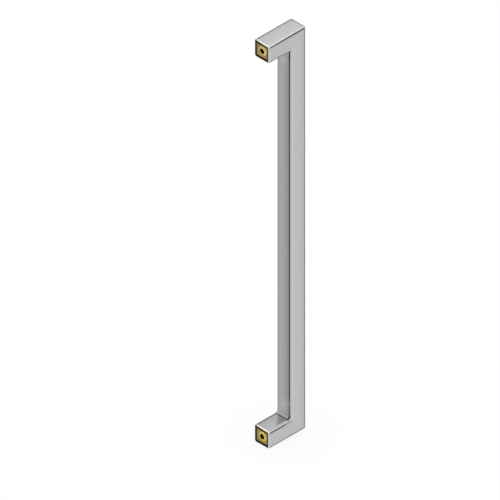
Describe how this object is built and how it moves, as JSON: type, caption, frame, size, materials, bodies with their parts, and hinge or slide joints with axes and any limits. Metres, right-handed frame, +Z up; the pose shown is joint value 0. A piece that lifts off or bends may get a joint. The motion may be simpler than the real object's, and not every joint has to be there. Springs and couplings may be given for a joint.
{
  "type": "shower door handle",
  "caption": "Square tube pull handle for a glass shower door, a tall C with mitred corners and a tapped brass insert in each open end.",
  "frame": {"origin": "on the door's surface, midway between the mouths of the two fixing holes", "axes": "+Z up along the grip, +Y out of the fixing holes into the door, so the handle stands out towards -Y, +X across the tube's width"},
  "size_m": [0.02, 0.05, 0.47],
  "materials": {
    "brushed_steel": "satin, brushed along the tube",
    "insert_brass": "machined, lightly tarnished"
  },
  "bodies": {
    "root": {"handle_tube": "brushed_steel", "upper_insert": "insert_brass", "lower_insert": "insert_brass"}
  },
  "joints": []
}
